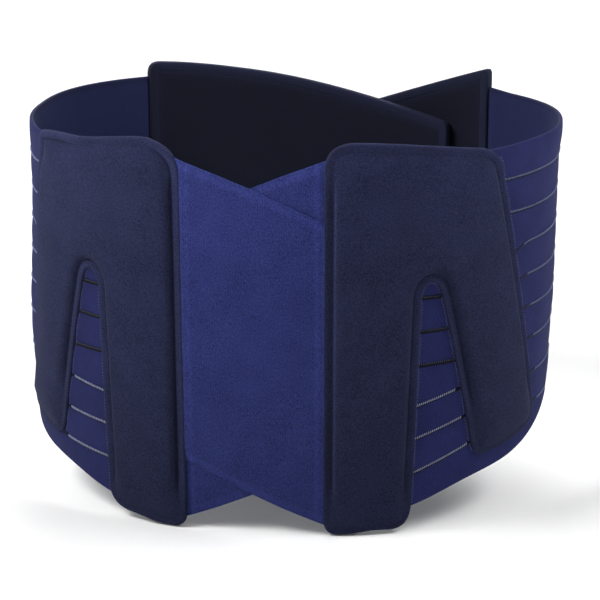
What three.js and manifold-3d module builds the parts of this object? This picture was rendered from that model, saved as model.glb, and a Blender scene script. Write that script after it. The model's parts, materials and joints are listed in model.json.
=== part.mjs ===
// Lumbar support belt, closed around an empty waist. Millimetres, +Z up.
// The back of the belt faces -Y, the closure faces +Y, the wearer's left is -X.
// Each layer is drawn flat and then wrapped onto the ring of the belt. Flat drawings use
// u, the distance along the ring from the middle of the back, and v, the height.
// w is the distance outward from the inner face of the side elastic.

import * as THREE from 'three';
import { mergeVertices } from 'three/addons/utils/BufferGeometryUtils.js';
import Module from 'manifold-3d';

// Ring of the belt, seen from above.
const HALF_WIDTH = 177;
const BACK_DEPTH = 153.5;
const FRONT_DEPTH = 141.8;
const SIDE_POWER = 2.25;
const BACK_POWER = 2.11;
const FRONT_POWER = 2.36;
const BELT_HEIGHT = 262;
const DRAW_IN_X = 0.0224;
const DRAW_IN_Y = 0.0413;
const STATIONS_PER_HALF = 42;

// Where the flat pieces meet along the ring.
const PAD_INNER = 45.8;
const BAND_HALF = 45.0;
const SIDE_HINGE = 227;
const FRONT_HINGE = 392;
const HINGE_GAP = 0.5;

// Side elastic.
const ELASTIC_THICK = 2.4;
const ELASTIC_TOP = 248;

// Lower edge of the elastic: [u, v]. It rises from the back legs over the hip.
const LOWER_EDGE_BACK = [[46, 10], [104, 18], [139, 30], [179, 37], [226.5, 50]];
const LOWER_EDGE_SIDE = [[227.5, 50], [245, 56], [266, 70], [292, 92], [322, 104], [391.5, 108]];

// Cross bands of the back.
const BAND_THICK = 2.0;
const BAND_GAP = 0.3;

// Back pad, in layers from the body outward.
const RIM_WIDTH = 6;
const LINING = [-1.6, -0.3];
const RIM = [2.7, 4.7];
const CROWN_TOP = 8.6;
const CROWN_INSIDE = 7.2;
const FOAM = [2.75, 6.9];
const SHELL_WALL = 1.2;

// Stays and their pockets.
const STAY_WIDTH = 12;
const STAY_LAYER = [3.65, 4.95];
const POCKET_WIDTH = 20;
const POCKET_LAYER = [2.75, 5.85];
const POCKET_WALL = 0.6;
const POCKET_SIDE = 3.2;
const INNER_STAY = { bottom: [76, 16], top: [76, 246] };
const OUTER_STAY = { bottom: [179, 60], top: [142, 240] };

// Front closure panels, in layers from the body outward.
const LEFT_PANEL_LENGTH = 229;
const RIGHT_PANEL_LENGTH = 175;
const FRONT_LINING = [0, 1.2];
const FRONT_CORE = [1.5, 3.3];
const FRONT_STAY = [1.8, 3.0];
const FRONT_COVER = [3.6, 4.8];
const BINDING = [-0.9, 5.7];
const BINDING_WALL = 0.6;
const BINDING_WEB = 1.0;
const BINDING_WIDTH = 6;
const HOOK_PATCH = [-1.5, -0.3];
const LOOP_PATCH = [5.1, 6.3];

// The left panel slides under the right one, so it moves inward over its first stretch.
const TUCK_DEPTH = -8.2;
const TUCK_LENGTH = 74;

const CURVE_STEPS = 4;
const SHORTEST_EDGE = 0.4;
const LEFT = -1;
const RIGHT = 1;

const wasm = await Module();
wasm.setup();

// ---------------------------------------------------------------- ring

function ringPoint(t) {
  const s = Math.sin(t);
  const c = Math.cos(t);
  const depth = c > 0 ? BACK_DEPTH : FRONT_DEPTH;
  const power = c > 0 ? BACK_POWER : FRONT_POWER;
  const x = HALF_WIDTH * Math.sign(s) * Math.abs(s) ** (2 / SIDE_POWER);
  const y = -depth * Math.sign(c) * Math.abs(c) ** (2 / power);
  return new THREE.Vector2(x, y);
}

// Half of the ring as evenly spaced stations, from the middle of the back to the front.
function ringStations() {
  const fine = 8000;
  const points = [ringPoint(0)];
  const reach = [0];
  for (let i = 1; i <= fine; i += 1) {
    points.push(ringPoint((Math.PI * i) / fine));
    reach.push(reach[i - 1] + points[i].distanceTo(points[i - 1]));
  }
  const half = reach[fine];
  const stations = [];
  let k = 0;
  for (let i = 0; i <= STATIONS_PER_HALF; i += 1) {
    const u = (half * i) / STATIONS_PER_HALF;
    while (k < fine - 1 && reach[k + 1] < u) {
      k += 1;
    }
    const part = Math.min(1, (u - reach[k]) / (reach[k + 1] - reach[k]));
    stations.push(points[k].clone().lerp(points[k + 1], part));
  }
  return { half, stations };
}

const { half: HALF_RING, stations: HALF_STATIONS } = ringStations();
const STATION_STEP = HALF_RING / STATIONS_PER_HALF;

// Station i of the whole ring, for any whole i, mirrored and wrapped as needed.
function station(i) {
  const around = 2 * STATIONS_PER_HALF;
  const j = ((i % around) + around) % around;
  if (j <= STATIONS_PER_HALF) {
    return HALF_STATIONS[j].clone();
  }
  const p = HALF_STATIONS[around - j];
  return new THREE.Vector2(-p.x, p.y);
}

// Outward direction at station i, lengthened so that offset layers keep their thickness.
function stationNormal(i) {
  const before = station(i).sub(station(i - 1)).normalize();
  const after = station(i + 1).sub(station(i)).normalize();
  const along = before.clone().add(after).normalize();
  const stretch = 1 / along.dot(before);
  return new THREE.Vector2(along.y, -along.x).multiplyScalar(stretch);
}

function noTuck() {
  return 0;
}

function leftPanelTuck(u) {
  return TUCK_DEPTH * THREE.MathUtils.smoothstep(u, FRONT_HINGE, FRONT_HINGE + TUCK_LENGTH);
}

// Flat position (u, v, w) to its place on the belt.
function place(u, v, w, tuck) {
  const i = Math.floor(u / STATION_STEP);
  const part = u / STATION_STEP - i;
  const p = station(i).lerp(station(i + 1), part);
  const n = stationNormal(i).lerp(stationNormal(i + 1), part);
  const inset = THREE.MathUtils.lerp(tuck(i * STATION_STEP), tuck((i + 1) * STATION_STEP), part);
  const below = (BELT_HEIGHT - v) / BELT_HEIGHT;
  const x = p.x * (1 - DRAW_IN_X * below) + n.x * (w + inset);
  const y = p.y * (1 - DRAW_IN_Y * below) + n.y * (w + inset);
  return new THREE.Vector3(x, y, v);
}

// ---------------------------------------------------------------- flat solids

function slab(outline, layer, holes = []) {
  const shape = new THREE.Shape(outline);
  shape.holes = holes.map((hole) => new THREE.Path(hole));
  const depth = layer[1] - layer[0];
  const solid = new THREE.ExtrudeGeometry(shape, { depth, bevelEnabled: false, steps: 1 });
  solid.translate(0, 0, layer[0]);
  return solid;
}

function toManifold(geometry) {
  const bare = new THREE.BufferGeometry();
  bare.setAttribute('position', geometry.getAttribute('position'));
  bare.setIndex(geometry.getIndex());
  const welded = mergeVertices(bare, 1e-4);
  const vertProperties = new Float32Array(welded.getAttribute('position').array);
  const triVerts = new Uint32Array(welded.getIndex().array);
  return new wasm.Manifold(new wasm.Mesh({ numProp: 3, vertProperties, triVerts }));
}

function fromManifold(solid) {
  const mesh = solid.getMesh();
  const geometry = new THREE.BufferGeometry();
  geometry.setAttribute('position', new THREE.Float32BufferAttribute(mesh.vertProperties, 3));
  geometry.setIndex(new THREE.Uint32BufferAttribute(mesh.triVerts, 1));
  return geometry;
}

// The point where the edge a-b crosses u, the same whichever end it is asked from.
function crossing(a, b, u) {
  const swap = a.x > b.x;
  const from = swap ? b : a;
  const to = swap ? a : b;
  const p = from.clone().lerp(to, (u - from.x) / (to.x - from.x));
  p.x = u;
  return p;
}

// The part of a flat polygon on one side of the line u.
function keepSide(polygon, u, side) {
  const kept = [];
  polygon.forEach((a, i) => {
    const b = polygon[(i + 1) % polygon.length];
    const da = (a.x - u) * side;
    const db = (b.x - u) * side;
    if (da >= 0) {
      kept.push(a);
    }
    if (da * db < 0) {
      kept.push(crossing(a, b, u));
    }
  });
  return kept;
}

// Cuts a triangle at every station that it crosses.
function cutAtStations(triangle) {
  const us = triangle.map((p) => p.x);
  const first = Math.floor(Math.min(...us) / STATION_STEP) + 1;
  const last = Math.ceil(Math.max(...us) / STATION_STEP) - 1;
  const cells = [];
  let rest = triangle;
  for (let i = first; i <= last; i += 1) {
    cells.push(keepSide(rest, i * STATION_STEP, -1));
    rest = keepSide(rest, i * STATION_STEP, 1);
  }
  cells.push(rest);
  return cells.filter((cell) => cell.length > 2);
}

// Wraps a flat solid onto the ring. On the left it is mirrored.
function wrap(geometry, side, tuck = noTuck) {
  const flat = geometry.getIndex() ? geometry.toNonIndexed() : geometry;
  const position = flat.getAttribute('position');
  const out = [];
  for (let i = 0; i < position.count; i += 3) {
    const triangle = [0, 1, 2].map((k) => new THREE.Vector3().fromBufferAttribute(position, i + k));
    cutAtStations(triangle).forEach((cell) => {
      const placed = cell.map((p) => place(p.x, p.y, p.z, tuck));
      for (let k = 1; k < placed.length - 1; k += 1) {
        const corners = [placed[0], placed[k], placed[k + 1]];
        if (side === LEFT) {
          corners.reverse();
        }
        corners.forEach((p) => out.push(p.x * side, p.y, p.z));
      }
    });
  }
  const wrapped = new THREE.BufferGeometry();
  wrapped.setAttribute('position', new THREE.Float32BufferAttribute(out, 3));
  const welded = mergeVertices(wrapped, 1e-3);
  welded.computeVertexNormals();
  return welded;
}

// A line parallel to a closed outline, moved inward by a distance. Where a corner is tighter
// than the distance, the points that would fold back or bunch up are left out.
function inset(outline, distance) {
  const turn = THREE.ShapeUtils.isClockWise(outline) ? -1 : 1;
  const count = outline.length;
  const moved = outline.map((p, i) => {
    const into = p.clone().sub(outline[(i + count - 1) % count]).normalize();
    const away = outline[(i + 1) % count].clone().sub(p).normalize();
    const along = into.clone().add(away).normalize();
    const reach = distance / Math.max(0.5, along.dot(into));
    return new THREE.Vector2(-along.y, along.x).multiplyScalar(reach * turn).add(p);
  });
  const unfolded = moved.filter((p, i) => {
    const next = (i + 1) % count;
    const before = (i + count - 1) % count;
    const ahead = moved[next].clone().sub(p).dot(outline[next].clone().sub(outline[i]));
    const behind = p.clone().sub(moved[before]).dot(outline[i].clone().sub(outline[before]));
    return ahead > 0 && behind > 0;
  });
  return unfolded.filter((p, i) => {
    const before = unfolded[(i + unfolded.length - 1) % unfolded.length];
    return p.distanceTo(before) > SHORTEST_EDGE;
  });
}

// ---------------------------------------------------------------- outlines

function smoothLine(points) {
  const curve = new THREE.SplineCurve(points.map(([u, v]) => new THREE.Vector2(u, v)));
  return curve.getPoints((points.length - 1) * CURVE_STEPS);
}

// Outline of a right-hand back pad: a body on top, a long inner leg and a slanted outer leg.
function padOutline() {
  const s = new THREE.Shape();
  s.moveTo(PAD_INNER, 246);
  s.quadraticCurveTo(PAD_INNER + 0.5, 262, 62, 262);
  s.bezierCurveTo(90, 261, 125, 258.5, 151, 250.5);
  s.quadraticCurveTo(166, 247, 168.5, 236);
  s.lineTo(214, 68);
  s.quadraticCurveTo(217.5, 54, 204, 51);
  s.quadraticCurveTo(182, 46, 163, 44);
  s.quadraticCurveTo(150, 42, 147.5, 54);
  s.quadraticCurveTo(136, 106, 123.5, 155);
  s.quadraticCurveTo(120.5, 167, 116, 167);
  s.quadraticCurveTo(108.5, 166.5, 108.5, 154);
  s.quadraticCurveTo(106.5, 80, 104, 19);
  s.quadraticCurveTo(103, 3.5, 88, 3.5);
  s.bezierCurveTo(72, 3.5, 70, 0, 60, 0);
  s.lineTo(54, 0);
  s.quadraticCurveTo(45, 0, 45.5, 13);
  return openPoints(s);
}

// The points of a closed shape, without a repeated last one.
function openPoints(shape) {
  const points = shape.getPoints(CURVE_STEPS);
  const last = points[points.length - 1];
  if (last.distanceTo(points[0]) < 1e-6) {
    points.pop();
  }
  return points;
}

function backElasticOutline() {
  const lower = smoothLine(LOWER_EDGE_BACK);
  const end = SIDE_HINGE - HINGE_GAP;
  return [...lower, new THREE.Vector2(end, ELASTIC_TOP), new THREE.Vector2(46, ELASTIC_TOP)];
}

function sideElasticOutline() {
  const lower = smoothLine(LOWER_EDGE_SIDE);
  const start = SIDE_HINGE + HINGE_GAP;
  const end = FRONT_HINGE - HINGE_GAP;
  return [...lower, new THREE.Vector2(end, ELASTIC_TOP), new THREE.Vector2(start, ELASTIC_TOP)];
}

// A band that crosses the back from high on one side (u < 0) to low on the other.
function bandOutline() {
  const upper = smoothLine([[-BAND_HALF, 248], [-22, 241], [0, 232.5], [22, 219], [BAND_HALF, 201]]);
  const lower = smoothLine([[-BAND_HALF, 48], [-22, 38], [0, 27.5], [22, 18], [BAND_HALF, 8]]);
  return [...lower, ...upper.reverse()];
}

// A straight strip between two flat points.
function stripOutline(ends, width, extraBottom, extraTop) {
  const bottom = new THREE.Vector2(...ends.bottom);
  const top = new THREE.Vector2(...ends.top);
  const along = top.clone().sub(bottom).normalize();
  const across = new THREE.Vector2(along.y, -along.x).multiplyScalar(width / 2);
  const low = bottom.addScaledVector(along, -extraBottom);
  const high = top.addScaledVector(along, extraTop);
  return [
    low.clone().sub(across),
    low.clone().add(across),
    high.clone().add(across),
    high.clone().sub(across),
  ];
}

// Outline of the left closure panel, measured from the front hinge.
function leftPanelOutline() {
  const start = FRONT_HINGE + HINGE_GAP;
  const end = FRONT_HINGE + LEFT_PANEL_LENGTH;
  const s = new THREE.Shape();
  s.moveTo(start, 112);
  s.quadraticCurveTo(start, 101, start + 12, 101);
  s.bezierCurveTo(start + 80, 102, start + 130, 116, end - 12, 139);
  s.quadraticCurveTo(end, 143, end, 153);
  s.lineTo(end, 209);
  s.quadraticCurveTo(end, 218.5, end - 10, 221);
  s.bezierCurveTo(start + 150, 236, start + 110, 252, start + 12, 258);
  s.quadraticCurveTo(start, 258, start, 248);
  return openPoints(s);
}

// Outline of the right closure panel, which tapers faster.
function rightPanelOutline() {
  const start = FRONT_HINGE + HINGE_GAP;
  const end = FRONT_HINGE + RIGHT_PANEL_LENGTH;
  const s = new THREE.Shape();
  s.moveTo(start, 112);
  s.quadraticCurveTo(start, 101, start + 12, 102);
  s.bezierCurveTo(start + 60, 106, start + 100, 124, end - 14, 143);
  s.quadraticCurveTo(end, 148, end, 158);
  s.lineTo(end, 194);
  s.quadraticCurveTo(end, 204, end - 12, 208);
  s.bezierCurveTo(start + 110, 224, start + 60, 243, start + 12, 259);
  s.quadraticCurveTo(start, 262, start, 250);
  return openPoints(s);
}

// ---------------------------------------------------------------- materials

function cloth(color, roughness) {
  return new THREE.MeshStandardMaterial({ color, roughness, metalness: 0 });
}

const MATERIALS = {
  padVelour: cloth(0x2a2e49, 0.95),
  padLining: cloth(0x1d2033, 0.95),
  foam: cloth(0x3a3c44, 1.0),
  pocket: cloth(0x1e2133, 0.9),
  bandVelour: cloth(0x2b3370, 0.95),
  elastic: cloth(0x30355c, 0.85),
  panelLining: cloth(0x1b1d2a, 0.9),
  panelCover: cloth(0x24283f, 0.95),
  binding: cloth(0x272a3d, 0.85),
  hook: cloth(0x16171f, 0.7),
  loop: cloth(0x262b4a, 1.0),
  steel: new THREE.MeshStandardMaterial({ color: 0xa9adb2, roughness: 0.35, metalness: 1 }),
};

const belt = new THREE.Group();
belt.name = 'lumbar_support_belt';

function add(name, geometry, material) {
  const mesh = new THREE.Mesh(geometry, material);
  mesh.name = name;
  belt.add(mesh);
}

// ---------------------------------------------------------------- sub-parts

// One cross band. Turned over, it runs from high on the right to low on the left.
function addBand(name, side, layer) {
  add(name, wrap(slab(bandOutline(), layer), side), MATERIALS.bandVelour);
}

// Outer shell of a pad: a flat rim around a raised crown, hollow behind.
function padCover() {
  const outline = padOutline();
  const rim = toManifold(slab(outline, RIM));
  const crown = toManifold(slab(inset(outline, RIM_WIDTH), [RIM[1] - 0.5, CROWN_TOP]));
  const hollow = toManifold(slab(inset(outline, RIM_WIDTH + SHELL_WALL), [0, CROWN_INSIDE]));
  return fromManifold(rim.add(crown).subtract(hollow));
}

// Foam core of a pad, with a slot for each stay pocket.
function padFoam() {
  const outline = inset(padOutline(), RIM_WIDTH + SHELL_WALL + 0.5);
  const slots = [INNER_STAY, OUTER_STAY].map((ends) => stripOutline(ends, POCKET_WIDTH + 1, 2.2, 2.2));
  const slotTools = slots.map((slot) => toManifold(slab(slot, [0, CROWN_TOP])));
  const foam = toManifold(slab(outline, FOAM));
  return fromManifold(slotTools.reduce((body, tool) => body.subtract(tool), foam));
}

// A cloth pocket: a flat sleeve with a floor, open at the top.
function stayPocket(ends) {
  const sleeve = toManifold(slab(stripOutline(ends, POCKET_WIDTH, 1.6, 0), POCKET_LAYER));
  const space = [POCKET_LAYER[0] + POCKET_WALL, POCKET_LAYER[1] - POCKET_WALL];
  const room = toManifold(slab(stripOutline(ends, POCKET_WIDTH - 2 * POCKET_SIDE, -0.4, 5), space));
  return fromManifold(sleeve.subtract(room));
}

function addStay(name, ends, side) {
  add(`stay_${name}`, wrap(slab(stripOutline(ends, STAY_WIDTH, -1, -2), STAY_LAYER), side), MATERIALS.steel);
  add(`stay_pocket_${name}`, wrap(stayPocket(ends), side), MATERIALS.pocket);
}

function addBackPad(name, side) {
  add(`pad_cover_${name}`, wrap(padCover(), side), MATERIALS.padVelour);
  add(`pad_foam_${name}`, wrap(padFoam(), side), MATERIALS.foam);
  add(`pad_lining_${name}`, wrap(slab(inset(padOutline(), 1), LINING), side), MATERIALS.padLining);
  addStay(`inner_${name}`, INNER_STAY, side);
  addStay(`outer_${name}`, OUTER_STAY, side);
}

function addElastic(name, side) {
  const layer = [0, ELASTIC_THICK];
  add(`back_elastic_${name}`, wrap(slab(backElasticOutline(), layer), side), MATERIALS.elastic);
  add(`side_elastic_${name}`, wrap(slab(sideElasticOutline(), layer), side), MATERIALS.elastic);
}

// Channel-shaped binding that wraps the edge of a panel all the way round.
function panelBinding(outline) {
  const body = toManifold(slab(outline, BINDING));
  const channelLayer = [BINDING[0] + BINDING_WALL, BINDING[1] - BINDING_WALL];
  const channel = toManifold(slab(inset(outline, BINDING_WEB), channelLayer));
  const window = toManifold(slab(inset(outline, BINDING_WIDTH), [BINDING[0] - 1, BINDING[1] + 1]));
  return fromManifold(body.subtract(channel).subtract(window));
}

function addFrontPanel(name, side, outline, tuck) {
  const sheet = inset(outline, BINDING_WEB + 0.3);
  const core = inset(outline, BINDING_WIDTH + 1);
  const stayU = FRONT_HINGE + 17;
  const ends = { bottom: [stayU, 117], top: [stayU, 242] };
  const slot = stripOutline(ends, STAY_WIDTH + 1, 0.5, 0.5);
  const stay = slab(stripOutline(ends, STAY_WIDTH, 0, 0), FRONT_STAY);
  add(`front_lining_${name}`, wrap(slab(sheet, FRONT_LINING), side, tuck), MATERIALS.panelLining);
  add(`front_core_${name}`, wrap(slab(core, FRONT_CORE, [slot]), side, tuck), MATERIALS.foam);
  add(`front_stay_${name}`, wrap(stay, side, tuck), MATERIALS.steel);
  add(`front_cover_${name}`, wrap(slab(sheet, FRONT_COVER), side, tuck), MATERIALS.panelCover);
  add(`front_binding_${name}`, wrap(panelBinding(outline), side, tuck), MATERIALS.binding);
}

// Hook patch on the inner face of the right panel's free end.
function addHookPatch() {
  const s = new THREE.Shape();
  const from = FRONT_HINGE + 76;
  const to = FRONT_HINGE + RIGHT_PANEL_LENGTH - 10;
  s.moveTo(from, 142);
  s.lineTo(to, 160);
  s.lineTo(to, 192);
  s.lineTo(from, 218);
  add('hook_patch', wrap(slab(openPoints(s), HOOK_PATCH), RIGHT), MATERIALS.hook);
}

// Loop patch on the outer face of the left panel, where the hooks land.
function addLoopPatch() {
  const s = new THREE.Shape();
  const from = FRONT_HINGE + 62;
  const to = FRONT_HINGE + LEFT_PANEL_LENGTH - 10;
  s.moveTo(from, 126);
  s.lineTo(to, 156);
  s.lineTo(to, 208);
  s.lineTo(from, 234);
  add('loop_patch', wrap(slab(openPoints(s), LOOP_PATCH), LEFT, leftPanelTuck), MATERIALS.loop);
}

addBand('cross_band_outer', RIGHT, [BAND_THICK + BAND_GAP, 2 * BAND_THICK + BAND_GAP]);
addBand('cross_band_inner', LEFT, [0, BAND_THICK]);
addBackPad('left', LEFT);
addBackPad('right', RIGHT);
addElastic('left', LEFT);
addElastic('right', RIGHT);
addFrontPanel('left', LEFT, leftPanelOutline(), leftPanelTuck);
addFrontPanel('right', RIGHT, rightPanelOutline(), noTuck);
addHookPatch();
addLoopPatch();

export default belt;
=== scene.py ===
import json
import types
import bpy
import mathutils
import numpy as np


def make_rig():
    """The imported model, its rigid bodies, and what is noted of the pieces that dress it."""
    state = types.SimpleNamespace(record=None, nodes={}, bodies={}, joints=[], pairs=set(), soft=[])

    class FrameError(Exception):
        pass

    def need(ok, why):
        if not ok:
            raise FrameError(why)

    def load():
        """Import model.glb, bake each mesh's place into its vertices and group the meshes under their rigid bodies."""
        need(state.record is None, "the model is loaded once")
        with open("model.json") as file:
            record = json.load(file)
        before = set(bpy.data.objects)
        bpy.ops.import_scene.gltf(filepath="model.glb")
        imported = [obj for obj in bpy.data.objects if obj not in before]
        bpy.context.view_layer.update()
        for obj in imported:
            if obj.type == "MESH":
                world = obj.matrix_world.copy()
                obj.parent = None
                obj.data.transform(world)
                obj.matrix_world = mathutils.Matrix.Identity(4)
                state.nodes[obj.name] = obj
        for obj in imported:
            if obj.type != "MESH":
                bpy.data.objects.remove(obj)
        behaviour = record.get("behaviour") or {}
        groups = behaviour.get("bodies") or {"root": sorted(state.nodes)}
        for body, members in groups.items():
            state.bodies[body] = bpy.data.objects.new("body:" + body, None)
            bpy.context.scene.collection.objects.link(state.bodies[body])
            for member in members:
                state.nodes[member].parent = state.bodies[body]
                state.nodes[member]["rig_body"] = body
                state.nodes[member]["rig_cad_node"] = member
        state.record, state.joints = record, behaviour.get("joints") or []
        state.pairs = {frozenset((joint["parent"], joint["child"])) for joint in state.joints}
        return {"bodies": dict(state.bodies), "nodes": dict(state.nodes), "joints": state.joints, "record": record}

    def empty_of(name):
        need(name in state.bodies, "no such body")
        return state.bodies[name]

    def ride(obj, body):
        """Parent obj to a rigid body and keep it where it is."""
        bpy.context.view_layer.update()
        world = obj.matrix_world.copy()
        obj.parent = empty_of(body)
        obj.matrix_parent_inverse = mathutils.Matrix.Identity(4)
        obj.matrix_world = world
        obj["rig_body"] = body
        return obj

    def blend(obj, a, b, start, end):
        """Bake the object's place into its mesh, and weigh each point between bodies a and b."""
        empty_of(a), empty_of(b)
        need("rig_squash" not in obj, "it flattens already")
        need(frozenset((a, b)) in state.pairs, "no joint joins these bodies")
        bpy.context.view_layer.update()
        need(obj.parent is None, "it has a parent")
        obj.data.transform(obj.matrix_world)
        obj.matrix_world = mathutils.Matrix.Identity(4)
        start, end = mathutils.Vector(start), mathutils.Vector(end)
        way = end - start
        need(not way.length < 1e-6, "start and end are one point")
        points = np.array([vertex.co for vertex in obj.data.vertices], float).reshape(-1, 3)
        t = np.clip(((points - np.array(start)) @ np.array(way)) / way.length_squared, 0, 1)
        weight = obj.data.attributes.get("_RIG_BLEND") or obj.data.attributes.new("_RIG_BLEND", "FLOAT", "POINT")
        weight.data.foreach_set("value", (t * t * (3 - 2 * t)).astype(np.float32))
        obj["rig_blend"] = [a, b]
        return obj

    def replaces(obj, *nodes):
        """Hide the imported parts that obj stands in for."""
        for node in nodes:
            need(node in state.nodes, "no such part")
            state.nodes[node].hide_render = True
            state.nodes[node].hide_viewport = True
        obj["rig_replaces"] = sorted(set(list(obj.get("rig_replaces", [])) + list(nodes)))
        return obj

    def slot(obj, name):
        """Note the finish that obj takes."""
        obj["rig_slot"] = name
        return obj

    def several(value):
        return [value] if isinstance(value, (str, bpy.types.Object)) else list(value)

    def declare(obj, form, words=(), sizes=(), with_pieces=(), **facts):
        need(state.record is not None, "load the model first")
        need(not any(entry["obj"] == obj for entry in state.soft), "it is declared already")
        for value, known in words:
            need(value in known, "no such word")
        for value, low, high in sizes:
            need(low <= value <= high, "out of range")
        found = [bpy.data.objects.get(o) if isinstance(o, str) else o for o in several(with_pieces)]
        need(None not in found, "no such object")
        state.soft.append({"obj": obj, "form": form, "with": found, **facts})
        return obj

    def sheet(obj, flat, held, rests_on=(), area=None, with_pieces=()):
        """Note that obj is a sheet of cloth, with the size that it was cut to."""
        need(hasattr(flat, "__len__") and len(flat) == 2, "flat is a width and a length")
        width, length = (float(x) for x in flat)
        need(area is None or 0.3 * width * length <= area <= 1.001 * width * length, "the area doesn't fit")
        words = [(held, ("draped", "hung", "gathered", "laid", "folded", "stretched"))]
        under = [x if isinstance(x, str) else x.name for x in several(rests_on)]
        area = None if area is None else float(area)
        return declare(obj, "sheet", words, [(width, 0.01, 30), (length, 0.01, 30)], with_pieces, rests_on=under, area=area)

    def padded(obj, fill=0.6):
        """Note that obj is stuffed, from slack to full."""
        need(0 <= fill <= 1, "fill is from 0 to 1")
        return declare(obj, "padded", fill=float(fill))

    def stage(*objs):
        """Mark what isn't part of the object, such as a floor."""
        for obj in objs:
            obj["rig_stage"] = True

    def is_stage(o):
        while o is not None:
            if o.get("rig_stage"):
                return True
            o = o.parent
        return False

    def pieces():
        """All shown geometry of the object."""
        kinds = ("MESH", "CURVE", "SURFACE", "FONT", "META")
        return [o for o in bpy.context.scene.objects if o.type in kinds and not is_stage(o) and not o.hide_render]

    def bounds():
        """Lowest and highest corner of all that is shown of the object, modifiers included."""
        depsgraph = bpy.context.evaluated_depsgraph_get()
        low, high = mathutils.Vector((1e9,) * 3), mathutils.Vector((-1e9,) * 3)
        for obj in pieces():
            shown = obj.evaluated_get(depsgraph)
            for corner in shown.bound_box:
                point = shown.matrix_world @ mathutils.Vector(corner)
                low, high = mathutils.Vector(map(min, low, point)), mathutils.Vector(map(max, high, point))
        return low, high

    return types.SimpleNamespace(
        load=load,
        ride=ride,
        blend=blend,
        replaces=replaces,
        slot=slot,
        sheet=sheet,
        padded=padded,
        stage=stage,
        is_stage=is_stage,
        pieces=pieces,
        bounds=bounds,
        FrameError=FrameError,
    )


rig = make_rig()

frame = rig.load()

import json
import math

import bpy
import numpy as np
from mathutils import Matrix, Vector
from mathutils.geometry import delaunay_2d_cdt

CAD_BOX = [list(p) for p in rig.bounds()]

# ---- the belt's ring
# Flat drawings use u, the distance round the ring from the middle of the back, and v, the
# height, in millimetres. w is the distance outward from the inner face of the side elastic.

MM = 0.001
HALF_WIDTH = 177.0
BACK_DEPTH = 153.5
FRONT_DEPTH = 141.8
SIDE_POWER = 2.25
BACK_POWER = 2.11
FRONT_POWER = 2.36
BELT_HEIGHT = 262.0
DRAW_IN_X = 0.0224
DRAW_IN_Y = 0.0413

RING_FINE = 6001  # samples of half the ring, to measure it
RING_KEPT = 1601  # even samples of the whole ring
RING_SLOPE = 12  # samples to each side that its direction is taken over

PAD_INNER = 45.8
FRONT_HINGE = 392.0
# Where cloth bends: the two bodies, the distance round the ring and half the length that bends.
BACK_BEND = ("back_left", "back_right", 45.0, 11.0)
SIDE_BEND = ("back_{}", "side_{}", 231.0, 13.0)
FRONT_BEND = ("side_{}", "front_{}", FRONT_HINGE, 5.0)
ELASTIC_START = 52.0
ELASTIC_SPLIT = 300.0
ELASTIC_END = 402.0
ELASTIC_TOP = 248.0
ELASTIC_THICK = 2.4
TUCK_DEPTH = -8.2
TUCK_LENGTH = 74.0
LEFT, RIGHT = -1, 1
NAME = {LEFT: "left", RIGHT: "right"}


def ring_table():
    """Even samples of the whole ring: distance, point and outward direction."""
    t = np.linspace(0, math.pi, RING_FINE)
    s, c = np.sin(t), np.cos(t)
    depth = np.where(c > 0, BACK_DEPTH, FRONT_DEPTH)
    power = np.where(c > 0, BACK_POWER, FRONT_POWER)
    x = HALF_WIDTH * np.abs(s) ** (2 / SIDE_POWER)
    y = -depth * np.sign(c) * np.abs(c) ** (2 / power)
    reach = np.concatenate([[0], np.cumsum(np.hypot(np.diff(x), np.diff(y)))])
    half = reach[-1]
    u = np.linspace(-half, half, RING_KEPT)
    px = np.interp(np.abs(u), reach, x) * np.sign(u)
    py = np.interp(np.abs(u), reach, y)

    def slope(a):
        ring = np.concatenate([a[-RING_SLOPE - 1:-1], a, a[1:RING_SLOPE + 1]])
        return ring[2 * RING_SLOPE:] - ring[:-2 * RING_SLOPE]

    tx, ty = slope(px), slope(py)
    length = np.hypot(tx, ty)
    return half, u, px, py, ty / length, -tx / length


HALF_RING, RING_U, RING_X, RING_Y, RING_NX, RING_NY = ring_table()


def round_ring(u, values):
    """A ring value at u, which may run past the end of the ring."""
    return np.interp(u, RING_U, values, period=2 * HALF_RING)


def no_tuck(u):
    return np.zeros_like(u)


def left_tuck(u):
    """How far the left panel moves inward, to pass under the right one."""
    return TUCK_DEPTH * smooth(FRONT_HINGE, FRONT_HINGE + TUCK_LENGTH, u)


TUCK = {LEFT: left_tuck, RIGHT: no_tuck}


def smooth(a, b, x):
    """Rises from 0 to 1 as x goes from a to b, with level ends."""
    t = np.clip((x - a) / (b - a), 0, 1)
    return t * t * (3 - 2 * t)


def lean(u, v, side):
    """How far the soft side stands out from the even ring, in millimetres."""
    if side == RIGHT:
        flank = smooth(190, 250, u) - smooth(310, 375, u)
        return flank * (1.4 * smooth(90, 130, v) + 1.9 * smooth(215, 246, v))
    # The left side is drawn in at the pad's edge and at its top, and stands out low on the flank.
    above_foot = smooth(56, 92, v)
    pad_edge = -2.0 * (smooth(155, 196, u) - smooth(199, 225, u)) * above_foot
    flank = 3.0 * (smooth(205, 240, u) - smooth(268, 345, u)) * above_foot * smooth(165, 112, v)
    top = -2.1 * (smooth(165, 215, u) - smooth(262, 345, u))
    high = smooth(150, 205, v)
    return (pad_edge + flank) * (1 - high) + top * high


def place(u, v, w, side, tuck=no_tuck):
    """Flat positions in millimetres to places on the belt in metres."""
    u, v, w = (np.asarray(a, float) for a in (u, v, w))
    w = w + tuck(u)
    below = (BELT_HEIGHT - v) / BELT_HEIGHT
    x = round_ring(u, RING_X) * (1 - DRAW_IN_X * below) + round_ring(u, RING_NX) * w
    x = x + lean(u, v, side)
    y = round_ring(u, RING_Y) * (1 - DRAW_IN_Y * below) + round_ring(u, RING_NY) * w
    return np.stack([x * side, y, v + 0 * x], -1) * MM


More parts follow.
